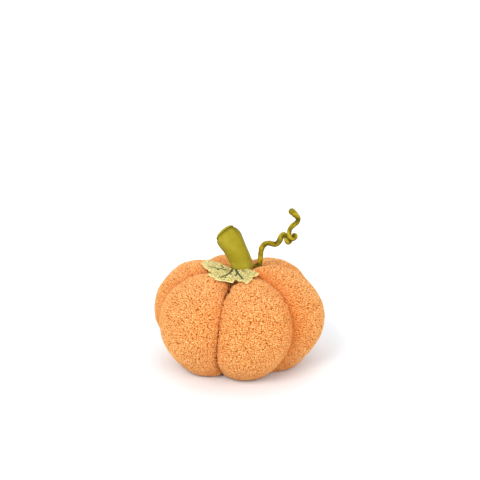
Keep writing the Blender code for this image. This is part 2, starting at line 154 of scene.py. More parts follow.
# Veins of the leaf: stations along each, and its width at both ends.
LEAF_VEINS = (
    # name           x_1    depth_1  x_2    depth_2  x_3    depth_3  x_4    depth_4  width_1  width_2
    ("main_left",    -9.3,   9.5,   -12.6,  22.6,   -17.4,  31.7,   -23.6,  38.6,    2.5,     2.0),
    ("left_twig",   -17.3,  36.3,   -17.1,  37.3,   -17.0,  38.3,   -17.1,  39.4,    1.8,     1.6),
    ("front",        -5.4,  11.7,    -3.5,  20.4,    -0.7,  31.3,     2.6,  43.3,    2.3,     1.9),
    ("front_twig",   -3.6,  21.4,    -4.4,  25.4,    -5.0,  29.0,    -5.8,  32.6,    2.0,     1.7),
    ("dash",          1.8,  15.6,     2.7,  15.9,     3.6,  16.3,     4.5,  16.7,    1.6,     1.3),
    ("back_left",   -17.4,  10.6,   -20.6,   9.9,   -24.0,   8.1,   -26.2,  13.0,    2.3,     1.9),
    ("far",         -27.0,   9.4,   -30.4,   4.6,   -34.2,   3.8,   -38.0,   3.7,    1.7,     1.2),
    ("back_twig",   -22.4,  -0.3,   -21.4,   1.6,   -20.3,   3.6,   -19.1,   5.8,    1.5,     1.2),
)

TENDRIL = (
    # name             x      depth    z     radius
    ("foot",          15.4,   -8.6,   118.0,  2.8),
    ("root",          19.6,   -8.0,   118.3,  2.9),
    ("knee",          22.4,   -7.4,   120.6,  3.0),
    ("stalk_low",     23.2,   -6.2,   127.6,  3.1),
    ("stalk",         24.4,   -4.2,   140.0,  3.1),
    ("shoulder",      26.5,   -3.0,   145.2,  3.1),
    ("first_crest",   30.1,   -1.5,   148.8,  3.0),
    ("first_run",     34.9,    0.0,   149.2,  2.9),
    ("first_dip",     40.1,    1.0,   148.2,  2.9),
    ("rise",          44.0,    1.0,   150.3,  3.2),
    ("second_rise",   46.2,    0.0,   154.7,  3.3),
    ("second_crest",  48.0,   -1.0,   158.2,  3.0),
    ("crest_end",     50.9,   -1.6,   159.7,  2.7),
    ("drop",          53.0,   -0.6,   156.8,  2.7),
    ("drop_low",      53.6,    0.8,   152.8,  2.8),
    ("curl_foot",     56.2,   -1.8,   149.6,  2.7),
    ("curl_behind",   60.0,   -5.6,   152.6,  2.6),
    ("curl_right",    63.0,   -4.6,   157.6,  2.6),
    ("curl_round",    64.0,    0.0,   156.8,  2.6),
    ("curl_front",    60.8,    4.4,   155.6,  2.6),
    ("curl_cross",    57.5,    5.4,   158.6,  2.7),
    ("neck_low",      56.2,    4.2,   162.6,  2.7),
    ("neck",          56.9,    2.5,   166.1,  2.8),
    ("neck_bend",     59.2,    1.0,   169.4,  2.8),
    ("hook_low",      62.9,   -0.5,   172.1,  2.9),
    ("hook_rise",     65.9,   -1.5,   174.7,  2.9),
    ("hook_side",     67.0,   -2.0,   177.8,  2.9),
    ("hook_top",      65.8,   -1.0,   181.2,  3.0),
    ("hook_over",     62.8,    1.0,   184.8,  3.6),
    ("bulb",          59.4,    2.8,   188.4,  4.0),
)


# ----------------------------------------------------------------- camera
def make_camera():
    """Long lens from 21.5 degrees above, framed as a 480 by 480 picture."""
    focal_px, distance, elevation = 1348.0, 1.6, math.radians(21.5)
    target, spot = Vector((AIM[0] * MM, AIM[1] * MM, 0.060)), (239.7, 314.6)
    place = target + distance * Vector((0.0, -math.cos(elevation), math.sin(elevation)))
    pitch = elevation - math.atan((spot[1] - 240.0) / focal_px)
    yaw = math.atan((spot[0] - 240.0) / focal_px)
    ahead = Vector((-math.sin(yaw) * math.cos(pitch), math.cos(yaw) * math.cos(pitch), -math.sin(pitch)))
    right = ahead.cross(Vector((0, 0, 1))).normalized()
    up = right.cross(ahead)
    data = bpy.data.cameras.new("camera")
    data.sensor_width = 36.0
    data.lens = focal_px / 480.0 * 36.0
    data.clip_start, data.clip_end = 0.05, 60.0
    data.dof.use_dof = False
    cam = bpy.data.objects.new("camera", data)
    turn = Matrix((right, up, -ahead)).transposed().to_4x4()
    cam.matrix_world = Matrix.Translation(place) @ turn
    bpy.context.scene.collection.objects.link(cam)
    bpy.context.scene.camera = cam
    return cam


# ------------------------------------------------------------- mesh tools
def mesh_object(name, points, triangles, smooth=True, polygons=()):
    """A mesh from arrays: points in mm, triangles, and a few larger faces."""
    mesh = bpy.data.meshes.new(name)
    points = np.asarray(points, dtype=np.float64) * MM
    triangles = np.asarray(triangles, dtype=np.int32)
    loops = triangles.reshape(-1)
    starts = np.arange(0, len(loops), 3, dtype=np.int32)
    for face in polygons:
        starts = np.append(starts, np.int32(len(loops)))
        loops = np.append(loops, np.asarray(face, dtype=np.int32))
    mesh.vertices.add(len(points))
    mesh.vertices.foreach_set("co", points.astype(np.float32).reshape(-1))
    mesh.loops.add(len(loops))
    mesh.loops.foreach_set("vertex_index", loops.astype(np.int32))
    mesh.polygons.add(len(starts))
    mesh.polygons.foreach_set("loop_start", starts.astype(np.int32))
    mesh.update(calc_edges=True)
    mesh.validate()
    if smooth:
        mesh.polygons.foreach_set("use_smooth", np.ones(len(mesh.polygons), dtype=bool))
    mesh.update()
    thing = bpy.data.objects.new(name, mesh)
    bpy.context.scene.collection.objects.link(thing)
    return thing


def add_value(thing, name, values):
    layer = thing.data.attributes.new(name, "FLOAT", "POINT")
    layer.data.foreach_set("value", np.asarray(values, dtype=np.float32))


def add_vector(thing, name, values):
    layer = thing.data.attributes.new(name, "FLOAT_VECTOR", "POINT")
    layer.data.foreach_set("vector", np.asarray(values, dtype=np.float32).reshape(-1))


def normals_of(points, triangles):
    a, b, c = (points[triangles[:, k]] for k in range(3))
    face = np.cross(b - a, c - a)
    total = np.zeros_like(points)
    for k in range(3):
        for j in range(3):
            total[:, j] += np.bincount(triangles[:, k], weights=face[:, j], minlength=len(points))
    size = np.linalg.norm(total, axis=1)
    size[size == 0] = 1.0
    return total / size[:, None]


def whirl(*parts):
    """A repeatable number from 0 to 1 for each set of whole numbers."""
    total = np.zeros(np.broadcast(*parts).shape, dtype=np.uint64)
    for k, part in enumerate(parts):
        total ^= (np.asarray(part).astype(np.int64).astype(np.uint64) * np.uint64((73856093, 19349663, 83492791, 49979687)[k]))
    total &= np.uint64(0xFFFFFFFF)
    total ^= total >> np.uint64(13)
    total = (total * np.uint64(1274126177)) & np.uint64(0xFFFFFFFF)
    total ^= total >> np.uint64(16)
    total = (total * np.uint64(2246822519)) & np.uint64(0xFFFFFFFF)
    total ^= total >> np.uint64(15)
    return total.astype(np.float64) / float(0xFFFFFFFF)


def waves(points, length, seed, count=7):
    """Soft uneven swelling from -1 to 1 with about the given wavelength."""
    own = np.random.default_rng(seed)
    total = np.zeros(len(points))
    for _ in range(count):
        way = own.normal(size=3)
        way *= own.uniform(0.7, 1.4) * 2 * np.pi / length / np.linalg.norm(way)
        total += np.sin(points @ way + own.uniform(0, 6.28))
    return total / math.sqrt(count / 2) / 1.6


def loops_field(u, v, cell, seed, stretch=0.5, jitter=0.58):
    """For places on the cloth, measured along and across it: the distance to
    the nearest loop of pile, to the next one, and a number for the nearest.
    Each loop is longer along a way of its own."""
    iu, iv = np.floor(u / cell).astype(np.int64), np.floor(v / cell).astype(np.int64)
    best, second = np.full(len(u), 1e9), np.full(len(u), 1e9)
    chosen = np.zeros(len(u))
    edge = (1 - jitter) / 2
    for du in (-1, 0, 1):
        for dv in (-1, 0, 1):
            ku, kv = iu + du, iv + dv
            shift = 0.5 * (kv % 2)
            gap_u = u - (ku + shift * 0.6 + edge + jitter * whirl(ku, kv, seed)) * cell
            gap_v = v - (kv + edge + jitter * whirl(ku, kv, seed + 1)) * cell
            turn = whirl(ku, kv, seed + 3) * np.pi
            along = gap_u * np.cos(turn) + gap_v * np.sin(turn)
            far = gap_u ** 2 + gap_v ** 2 - stretch * along ** 2
            near = far < best
            second = np.where(near, best, np.minimum(second, far))
            chosen = np.where(near, whirl(ku, kv, seed + 5), chosen)
            best = np.where(near, far, best)
    return np.sqrt(np.maximum(best, 0)), np.sqrt(np.maximum(second, 0)), chosen


# ------------------------------------------------------------------- gores
def lobe_rows():
    keys = ("name", "bearing", "seam_right", "reach", "half", "crown", "crown_out", "belly", "top_power",
            "low_power", "pull_right")
    rows = [dict(zip(keys, row)) for row in LOBES]
    for i, row in enumerate(rows):
        before = rows[i - 1]["seam_right"]
        row["seam_left"] = before - 360.0 if before > row["bearing"] else before
        row["pull_left"] = rows[i - 1]["pull_right"]
    return rows


def turned(points):
    """Points of the cloth after the lobes' feet have been pulled aside."""
    low = np.clip(1.0 - points[:, 2] / FOOT_TURN_TOP, 0.0, 1.0)
    near = 0.5 + 0.5 * np.cos(np.arctan2(points[:, 0], -points[:, 1]) - math.radians(FOOT_TURN_BEARING))
    turn = math.radians(FOOT_TURN) * near * low ** 1.5
    x, y = points[:, 0], points[:, 1]
    return np.stack([x * np.cos(turn) - y * np.sin(turn), x * np.sin(turn) + y * np.cos(turn), points[:, 2]], axis=1)


def soft_step(low, high, value):
    t = np.clip((value - low) / (high - low), 0.0, 1.0)
    return t * t * (3 - 2 * t)


def lobe_level(row, out, turn, height):
    rise = height - row["belly"]
    down = np.clip(-rise / row["belly"], 0.0, 1.0)
    middle = row["crown_out"] - FOOT_TUCK * down * down * (3 - 2 * down)
    u = out * np.cos(turn) - middle
    v = np.abs(out * np.sin(turn)) / row["half"]
    u = np.where(u > 0, u / (row["reach"] - middle), -u / INNER_RUN)
    plan = u ** PLAN_POWER + v ** PLAN_POWER
    power = np.where(rise > 0, row["top_power"], row["low_power"])
    side = np.where(rise > 0, rise / (row["crown"] - row["belly"]), -rise / (row["belly"] + FOOT_PRESS))
    return plan ** (power / PLAN_POWER) + side ** power


def lobe_points(row, turn, angle, to_seam):
    start = row["crown_out"] * 0.92
    low, high = np.zeros_like(angle), np.full_like(angle, 160.0)
    for _ in range(30):
        mid = 0.5 * (low + high)
        out = start + mid * np.cos(angle)
        level = lobe_level(row, np.abs(out), np.where(out > 0, turn, 0.0), row["belly"] + mid * np.sin(angle))
        low, high = np.where(level < 1, mid, low), np.where(level < 1, high, mid)
    out = start + low * np.cos(angle)
    side = np.maximum(0.0, np.maximum(out, 0.0) * np.sin(to_seam))
    roll = SEAM_ROUND - np.sqrt(np.maximum(0.0, SEAM_ROUND ** 2 - np.maximum(SEAM_ROUND - side, 0.0) ** 2))
    seam = math.radians(1.0) * np.where(turn < 0, row["seam_left"] % 360.0, row["seam_right"] % 360.0)
    hole = (np.sin(angle * 41.0 + 7.0 * seam) + 0.8 * np.sin(angle * 63.0 + 3.0 * seam) + 0.7 * np.sin(angle * 23.0 + seam)) / 2.5
    bridge = SEAM_BRIDGE + 0.3 * np.sin(angle * 31.0 + seam) + 2.5 * soft_step(0.22, 0.46, hole)
    bridge = bridge + 2.5 * soft_step(math.radians(58.0), math.radians(84.0), np.abs(angle))
    roll = np.where(roll > bridge, bridge + 0.2 * (roll - bridge), roll)
    run = low - roll
    return start + run * np.cos(angle), row["belly"] + run * np.sin(angle)


def lobe_ends(row, turn, to_seam, sign):
    near = np.full_like(turn, math.radians(90.0))
    far = np.full_like(turn, math.radians(179.0))
    for _ in range(26):
        mid = 0.5 * (near + far)
        keep = lobe_points(row, turn, sign * mid, to_seam)[0] > TIP_CLEAR
        near, far = np.where(keep, mid, near), np.where(keep, far, mid)
    return sign * near


def well_height(out):
    radius, floor, roll = WELL
    past = np.clip((out - radius) / roll, 0.0, 1.0)
    level = floor + 9.0 * (1.0 - np.sqrt(1.0 - past ** 2)) + 1.2 * past * roll
    return np.where(out <= radius, floor, np.where(out >= radius + roll, 500.0, level))


def smooth_surface(row):
    """The gore's smooth outside: rows of evenly spaced points from seam to
    seam, from the bottom dimple up and over to the top one."""
    left, right, middle = row["seam_left"], row["seam_right"], row["bearing"]
    share = np.linspace(-1, 1, 49)
    share = np.sign(share) * np.sin(np.abs(share) * np.pi / 2) ** 0.95
    bearings = np.where(share < 0, middle + (middle - left) * share, middle + (right - middle) * share)
    turn = np.radians(bearings - middle)
    to_seam = np.radians(np.maximum(0.0, np.minimum(right - bearings, bearings - left)))
    first, last = lobe_ends(row, turn, to_seam, -1.0), lobe_ends(row, turn, to_seam, 1.0)
    # stations along the crown line, evenly spaced by length
    s = np.linspace(0, 1, 1601)
    centre = len(bearings) // 2
    out, high = lobe_points(row, np.full_like(s, turn[centre]), first[centre] + (last[centre] - first[centre]) * s,
                            np.full_like(s, to_seam[centre]))
    run = np.concatenate([[0], np.cumsum(np.hypot(np.diff(out), np.diff(high)))])
    count = int(run[-1] / (EDGE_STEP * 0.95))
    stations = np.interp(np.linspace(0, run[-1], count), run, s)
    angle = first[:, None] + (last - first)[:, None] * stations[None, :]
    out, high = lobe_points(row, np.repeat(turn[:, None], count, 1), angle, np.repeat(to_seam[:, None], count, 1))
    out = np.maximum(out, TIP_CLEAR)
    high = np.minimum(np.maximum(high, 0.0), well_height(out))
    beta = np.radians(bearings)[:, None]
    x, y = out * np.sin(beta), -out * np.cos(beta)
    grid = np.stack([x, y, high], axis=2)          # bearing, station, xyz
    rows, starts, total = [], [], 0
    cloth_u, cloth_v = [], []
    length = np.linspace(0, run[-1], count)
    for j in range(count):
        line = grid[:, j, :]
        step = np.concatenate([[0], np.cumsum(np.linalg.norm(np.diff(line, axis=0), axis=1))])
        n = max(3, int(round(step[-1] / (EDGE_STEP * 1.1))) + 1)
        at = np.linspace(0, step[-1], n)
        rows.append(np.stack([np.interp(at, step, line[:, k]) for k in range(3)], axis=1))
        cloth_u.append(at - step[centre])
        cloth_v.append(np.full(n, length[j]))
        starts.append(total)
        total += n
    points = np.concatenate(rows)
    triangles = []
    for j in range(count - 1):
        n, m = len(rows[j]), len(rows[j + 1])
        a, b = starts[j], starts[j + 1]
        place_a = (np.arange(n - 1) + 0.5) / (n - 1)
        place_b = (np.arange(m - 1) + 0.5) / (m - 1)
        k = np.searchsorted(place_b, place_a, side="left")
        triangles.append(np.stack([a + np.arange(n - 1), a + np.arange(1, n), b + k], axis=1))
        i = np.searchsorted(place_a, place_b, side="right")
        triangles.append(np.stack([b + np.arange(1, m), b + np.arange(m - 1), a + i], axis=1))
    triangles = np.concatenate(triangles)
    ends = [(starts[j], starts[j] + len(rows[j]) - 1) for j in range(count)]
    return points, triangles, ends, np.concatenate(cloth_u), np.concatenate(cloth_v)


def gore(row, seed):
    points, triangles, ends, cloth_u, cloth_v = smooth_surface(row)
    outer = len(points)
    normal = normals_of(points, triangles)
    middle = points.mean(axis=0)
    if np.einsum("ij,ij->i", points - middle, normal).mean() < 0:
        normal = -normal
    # soft uneven stuffing, and small puckers that run in from the seams
    left, right = np.radians(row["seam_left"]), np.radians(row["seam_right"])
    away_left = -(points[:, 0] * -math.cos(left) - points[:, 1] * math.sin(left))
    away_right = -(points[:, 0] * math.cos(right) + points[:, 1] * math.sin(right))
    side = np.minimum(np.abs(away_left), np.abs(away_right))
    lump = 0.55 * waves(points, 46.0, seed) + 0.35 * waves(points, 21.0, seed + 5)
    fade = np.exp(-np.maximum(side - 2.0, 0) / 7.0)
    climb = np.arctan2(points[:, 2] - row["belly"], np.hypot(points[:, 0], points[:, 1]) - row["crown_out"])
    pucker = 0.45 * fade * np.sin(climb * 60.0 / 3.4 + 2.5 * waves(points, 30.0, seed + 9))
    calm = np.clip(side / 3.0, 0.0, 1.0)
    # the seams are drawn in towards the top, and gathered under the leaf
    high = soft_step(84.0, 112.0, points[:, 2])
    pull = np.where(np.abs(away_left) < np.abs(away_right), row["pull_left"], row["pull_right"])
    drawn = pull * high * np.exp(-(side / 5.5) ** 2)
    shade = 0.0 * side
    for _, x, depth, radius, deep, dark in HOLLOWS:
        gap2 = (points[:, 0] - x) ** 2 + (points[:, 1] + depth) ** 2
        near_it = soft_step(80.0, 96.0, points[:, 2]) * np.exp(-gap2 / radius ** 2)
        drawn = drawn + deep * near_it
        shade = np.maximum(shade, dark * near_it ** 1.5)
    # the looped pile: curled nubs with deep gaps between them
    u = cloth_u + 0.75 * waves(points, 5.5, 71, 6) + 0.30 * waves(points, 2.4, 73, 6)
    v = cloth_v + 0.75 * waves(points, 5.5, 72, 6) + 0.30 * waves(points, 2.4, 74, 6)
    near, second, number = loops_field(u, v, LOOP_CELL, seed)
    near_2, second_2, number_2 = loops_field(u + 0.4 * near, v - 0.3 * near, 0.5 * LOOP_CELL, seed + 40)
    dome = np.clip(1.0 - (near / (0.60 * LOOP_CELL)) ** 2, 0.0, 1.0) ** 0.75
    gap = soft_step(0.0, 0.40 * LOOP_CELL, second - near)
    small = np.clip(1.0 - (near_2 / (0.34 * LOOP_CELL)) ** 2, 0.0, 1.0)
    pile = dome * (0.86 + 0.14 * number) * (0.50 + 0.50 * gap) * 0.88 + 0.16 * small * (0.6 + 0.4 * number_2)
    pile = np.clip(pile, 0.0, 1.05)
    rise = (pile - 0.52) * LOOP_HIGH
    # the underside is drawn in a little above the feet
    high = points[:, 2]
    tuck = TUCKS.get(row["name"], 1.0) * soft_step(4.0, 22.0, high) * (1.0 - soft_step(26.0, 64.0, high))
    # its weight spreads the foot
    spread = SPREADS.get(row["name"], 2.2) * (1.0 - soft_step(4.0, 17.0, high))
    shift = rise + calm * (lump + pucker) - drawn - tuck + spread
    moved = points + normal * shift[:, None]
    # neighbours press the gore flat at its seams, and the floor at its foot
    for bearing, sign in ((left, 1.0), (right, -1.0)):
        across = np.array([math.cos(bearing), math.sin(bearing), 0.0]) * sign
        apart = moved @ across
        short = np.maximum(0.12 - apart, 0.0)
        moved += across[None, :] * short[:, None]
        # the line of the seam wanders, and both of its gores share the wave
        own = int(round(math.degrees(bearing) % 360.0))
        place = np.stack([climb * 60.0, 0 * climb, 0 * climb], axis=1)
        wander = 0.50 * waves(place, 4.4, 900 + own, 5) + 0.45 * waves(place, 9.0, 950 + own, 5)
        wander = wander * np.exp(-np.maximum(apart, 0.0) / 3.0) * sign
        moved += across[None, :] * (wander * soft_step(2.0, 8.0, points[:, 2]))[:, None]
    moved[:, 2] = np.maximum(moved[:, 2], 0.02)
    moved = turned(moved)
    moved[:, :2] += np.array(AXIS)
    # the two hidden sides and the narrow inner edge
    lefts = np.array([a for a, _ in ends])
    rights = np.array([b for _, b in ends])
    hubs = np.stack([moved[lefts].mean(axis=0), moved[rights].mean(axis=0)])
    all_points = np.concatenate([moved, hubs])
    hub_left, hub_right = outer, outer + 1
    fans = [np.stack([np.full(len(lefts), hub_left), lefts, np.roll(lefts, -1)], axis=1),
            np.stack([np.full(len(rights), hub_right), np.roll(rights, -1), rights], axis=1)]
    top = list(range(lefts[-1], rights[-1] + 1))
    bottom = list(range(lefts[0], rights[0] + 1))
    inner = [lefts[0]] + top + bottom[:0:-1]
    tris = np.concatenate([triangles] + fans)
    a, b, c = (all_points[tris[:, k]] for k in range(3))
    if np.einsum("ij,ij->i", a, np.cross(b, c)).sum() < 0:
        tris = tris[:, ::-1]
        inner = inner[::-1]
    thing = mesh_object(row["name"].replace("lobe", "gore"), all_points, tris, True, [inner])
    extra = np.zeros(2)
    add_value(thing, "pile", np.concatenate([pile, extra]))
    add_value(thing, "loop", np.concatenate([number, extra]))
    # painted shade in the folds by both seams, a deep orange where cloth reflects cloth; the table sets how deep it is
    # on each side
    shade_left, shade_right = FOLD_SHADE.get(row["name"], (1.0, 1.0))
    share = soft_step(-14.0, 14.0, np.abs(away_left) - np.abs(away_right))
    dye_and_shade = (shade_left + (shade_right - shade_left) * share) * (0.45 * np.exp(-side / 2.2) + 0.55 * np.exp(-side / 12.0))
    add_value(thing, "seam", np.concatenate([np.minimum(dye_and_shade, 1.0), extra + 1]))
    add_value(thing, "shade", np.concatenate([shade, extra]))
    # painted shade, darker towards the bottom
    add_value(thing, "under", np.concatenate([1.0 - soft_step(3.0, 26.0, points[:, 2]), extra + 1]))
    # painted light on the tops; it also sets the pile's contrast there
    add_value(thing, "crown", np.concatenate([soft_step(78.0, 112.0, points[:, 2]), extra + 1]))
    return thing


# -------------------------------------------------------------------- stem
def smooth_rows(rows, steps):
    values = np.array([row[1:] for row in rows], dtype=float)
    padded = np.vstack([2 * values[0] - values[1], values, 2 * values[-1] - values[-2]])
    result = []
    for i in range(1, len(padded) - 2):
        p0, p1, p2, p3 = padded[i - 1:i + 3]
        for k in range(steps):
            t = k / steps
            result.append(0.5 * (2 * p1 + (p2 - p0) * t + (2 * p0 - 5 * p1 + 4 * p2 - p3) * t ** 2
                                 + (3 * p1 - p0 - 3 * p2 + p3) * t ** 3))
    result.append(values[-1])
    return np.array(result)


def stem_frame(values):
    """Centre, sideways and backward ways of the stem's cross-sections."""
    x, depth, z, lean, _, _, rear = values.T
    lean, rear = np.radians(lean), np.radians(rear)
    way = np.stack([-np.sin(lean) * np.cos(rear), np.sin(rear), np.cos(lean) * np.cos(rear)], axis=1)
    across = np.stack([np.cos(lean), np.zeros_like(lean), np.sin(lean)], axis=1)
    back = np.cross(way, across)
    centre = np.stack([x + AXIS[0], -depth + AXIS[1], z], axis=1)
    return centre, across, back, way


def tube_faces(rings, sides):
    r = np.arange(rings - 1)[:, None] * sides
    k = np.arange(sides)[None, :]
    n = (k + 1) % sides
    a, b, c, d = r + k, r + n, r + sides + n, r + sides + k
    return np.concatenate([np.stack([a, b, c], axis=2).reshape(-1, 3), np.stack([a, c, d], axis=2).reshape(-1, 3)])


def cap_faces(ring, sides, hub, flip):
    k = np.arange(sides)
    n = (k + 1) % sides
    tri = np.stack([np.full(sides, hub), ring * sides + k, ring * sides + n], axis=1)
    return tri[:, ::-1] if flip else tri


def outward(points, tris):
    a, b, c = (points[tris[:, k]] for k in range(3))
    return tris[:, ::-1] if np.einsum("ij,ij->i", a, np.cross(b, c)).sum() < 0 else tris


def make_stem():
    values = smooth_rows(STEM, 60)
    # even spacing along the stem
    centre, _, _, _ = stem_frame(values)
    run = np.concatenate([[0], np.cumsum(np.linalg.norm(np.diff(centre, axis=0), axis=1))])
    rings, sides = 130, 112
    at = np.linspace(0, run[-1], rings)
    values = np.stack([np.interp(at, run, values[:, k]) for k in range(values.shape[1])], axis=1)
    centre, across, back, way = stem_frame(values)
    wide, deep = values[:, 4], values[:, 5]
    theta = 2 * np.pi * np.arange(sides) / sides
    a, s = theta[None, :], at[:, None]
    total = run[-1]
    from_foot, from_end = s, total - s
    own = 0.0 * a + 0.0 * s
    # gathered where it is sewn down, uneven from pleat to pleat
    own += np.exp(-from_foot / 6.0) * (0.30 * np.cos(11 * a + 0.8 * np.sin(3 * a)) + 0.16 * np.cos(19 * a + 1.0))
    # shallow cross creases on the inner side of the bend, which is the left side
    inner = np.clip(-np.cos(a - 0.35), 0, 1) ** 1.3
    bend = np.exp(-((s - 0.46 * total) / (0.24 * total)) ** 2)
    own += -0.20 * inner * bend * np.clip(np.sin(s * 2 * np.pi / 7.4 + 1.3 * np.sin(2 * a) + 0.7), -0.4, 1)
    # long soft dents
    own += 0.30 * np.sin(2 * a + 0.05 * s + 0.4) * np.sin(0.09 * s + 1.0) + 0.16 * np.sin(5 * a + 0.12 * s)
    # diagonal pull creases below the rim
    own += 0.16 * np.exp(-from_end / 9.0) * np.sin(9 * a - 0.35 * s)
    # small puckers at the seam with the end piece, and the groove there
    pucker = np.exp(-from_end / 2.2) * (0.20 * np.cos(34 * a) + 0.10 * np.cos(21 * a + 1.0))
    groove = np.exp(-(from_end / 1.25) ** 2)
    own += pucker - 0.50 * groove
    # the two side seams, each a narrow groove between raised lips
    stitch = 0.0 * own
    for bearing in (-33.0, 207.0):
        seam = ((a - np.radians(bearing) + np.pi) % (2 * np.pi) - np.pi) * 13.0
        own -= 0.40 * np.exp(-(seam / 0.55) ** 2)
        own += 0.20 * np.exp(-((np.abs(seam) - 1.25) / 0.8) ** 2)
        stitch = np.maximum(stitch, np.exp(-(seam / 0.7) ** 2))
    rx, ry = wide[:, None] + own, deep[:, None] + own
    points = (centre[:, None, :] + across[:, None, :] * (rx * np.cos(a))[:, :, None]
              + back[:, None, :] * (ry * np.sin(a))[:, :, None])
    grid = points.reshape(-1, 3)
    hubs = np.stack([centre[0] - way[0] * 0.1, centre[-1] + way[-1] * 0.2])
    points = np.concatenate([grid, hubs])
    tris = np.concatenate([tube_faces(rings, sides), cap_faces(0, sides, len(grid), True),
                           cap_faces(rings - 1, sides, len(grid) + 1, False)])
    thing = mesh_object("stem_tube", points, outward(points, tris))
    around = (np.repeat(a, rings, 0) * 13.0).reshape(-1)
    along = np.repeat(s, sides, 1).reshape(-1)
    # colour follows the folds, painted light on their crests and painted shade in their creases;
    # a painted highlight down the front of the upper part, and painted shade by the seams and the rim
    face = np.exp(-((np.abs(((a + 1.85 + np.pi) % (2 * np.pi)) - np.pi)) / 0.75) ** 2)
    hue = 0.50 + 0.5 * (own + 0.50 * groove) + 0.16 * face * soft_step(0.15 * total, 0.85 * total, s)
    # painted shade towards the stem's outline on both sides, and painted light near its foot
    flank = np.abs(np.cos(a)) ** 6 * (np.sin(a) < 0.6)
    hue = hue - 0.22 * flank * soft_step(0.0, 0.2 * total, s) + 0.72 * np.exp(-((s - 6.0) / 7.0) ** 2)
    # painted shade in the side seams' grooves, along the rim, in the groove at the end piece and right at the foot
    hue = hue - 0.42 * stitch - 0.30 * np.exp(-from_end / 2.2) - 0.7 * groove - 0.25 * np.exp(-from_foot / 2.5)
    add_vector(thing, "cloth", np.concatenate([np.stack([around, along, 0 * along], axis=1), np.zeros((2, 3))]))
    add_value(thing, "fold", np.concatenate([np.clip(hue, 0, 1).reshape(-1), [0.5, 0.5]]))
    return thing


def make_stem_end():
    """The puffed round sewn in the stem's end."""
    values = np.array([STEM[-1][1:]], dtype=float)
    centre, across, back, way = (v[0] for v in stem_frame(values))
    profile = (
        # share  rise
        (0.93, 0.30), (0.965, 0.33), (0.992, 0.58), (1.000, 1.02), (0.985, 1.60), (0.950, 2.20), (0.900, 2.75),
        (0.835, 3.25), (0.745, 3.68), (0.63, 4.05), (0.49, 4.34), (0.34, 4.53), (0.18, 4.63), (0.06, 4.66),
    )
    share = np.array([p[0] for p in profile])
    rise = np.array([p[1] for p in profile])
    t = np.linspace(0, len(profile) - 1, 64)
    share, rise = (np.interp(t, np.arange(len(profile)), v) for v in (share, rise))
    for _ in range(3):
        share[1:-1] = 0.25 * share[:-2] + 0.5 * share[1:-1] + 0.25 * share[2:]
        rise[1:-1] = 0.25 * rise[:-2] + 0.5 * rise[1:-1] + 0.25 * rise[2:]
    sides = 120
    theta = 2 * np.pi * np.arange(sides) / sides
    a, c, h = theta[None, :], share[:, None], rise[:, None]
    edge = np.exp(-((c - 0.90) / 0.09) ** 2)
    ripple = edge * (0.10 * np.cos(31 * a + 0.5 * np.sin(4 * a)) + 0.08 * np.cos(17 * a))
    inner = np.exp(-((c - 0.72) / 0.16) ** 2) * (0.12 * np.cos(23 * a + 1.2) + 0.10 * np.cos(9 * a))
    lift = h + ripple + inner + 0.25 * np.cos(2 * a + 0.6) * (1 - c)
    rx, ry = END_RADII[0] * c + 0.25 * ripple, END_RADII[1] * c + 0.25 * ripple
    points = (centre + across * (rx * np.cos(a))[:, :, None] + back * (ry * np.sin(a))[:, :, None]
              + way * lift[:, :, None])
    grid = points.reshape(-1, 3)
    hubs = np.stack([centre + way * 0.3, points[-1].mean(axis=0) + way * 0.02])
    rings = len(share)
    points = np.concatenate([grid, hubs])
    tris = np.concatenate([tube_faces(rings, sides), cap_faces(0, sides, len(grid), True),
                           cap_faces(rings - 1, sides, len(grid) + 1, False)])
    thing = mesh_object("stem_round", points, outward(points, tris))
    u, v = (rx * np.cos(a)).reshape(-1), (ry * np.sin(a)).reshape(-1)
    add_vector(thing, "cloth", np.concatenate([np.stack([u, v, 0 * u], axis=1), np.zeros((2, 3))]))
    # painted light on the crests of the ripples and painted shade in their dips, and painted shade low at the rim
    # where it meets the tube
    fold = np.clip(0.72 + 1.2 * (ripple + inner), 0, 1) - 0.6 * np.exp(-(h - 0.3) / 0.22)
    add_value(thing, "fold", np.concatenate([np.clip(fold, 0, 1).reshape(-1), [0.2, 0.5]]))
    return thing


# -------------------------------------------------------------------- leaf
def leaf_outline(count):
    """The leaf's edge as points, sharp at its tips and notches and curved
    between them."""
    spots = np.array([row[1:3] for row in LEAF_EDGE])
    sharp = [row[3] for row in LEAF_EDGE]
    path = []
    for i in range(len(spots) - 1):
        p1, p2 = spots[i], spots[i + 1]
        before = p1 if sharp[i] or i == 0 else spots[i - 1]
        after = p2 if sharp[i + 1] or i == len(spots) - 2 else spots[i + 2]
        m1 = (p2 - before) * (1.0 if sharp[i] or i == 0 else 0.5)
        m2 = (after - p1) * (1.0 if sharp[i + 1] or i == len(spots) - 2 else 0.5)
        for k in range(40):
            t = k / 40
            path.append((2 * t ** 3 - 3 * t ** 2 + 1) * p1 + (t ** 3 - 2 * t ** 2 + t) * m1
                        + (3 * t ** 2 - 2 * t ** 3) * p2 + (t ** 3 - t ** 2) * m2)
    path.append(spots[-1])
    path = np.array(path)
    run = np.concatenate([[0], np.cumsum(np.linalg.norm(np.diff(path, axis=0), axis=1))])
    at = np.linspace(0, run[-1], count)
    return np.stack([np.interp(at, run, path[:, k]) for k in range(2)], axis=1), at


def vein_paths():
    lines = []
    for row in LEAF_VEINS:
        spots = [np.array(row[k:k + 2]) for k in (1, 3, 5, 7)]
        t = np.linspace(0, 1, 48)[:, None]
        curve = 0.0
        for i in range(4):
            weight = 1.0
            for j in range(4):
                if j != i:
                    weight = weight * (3 * t - j) / (i - j)
            curve = curve + spots[i] * weight
        lines.append((curve, np.linspace(row[9], row[10], 48)))
    return lines


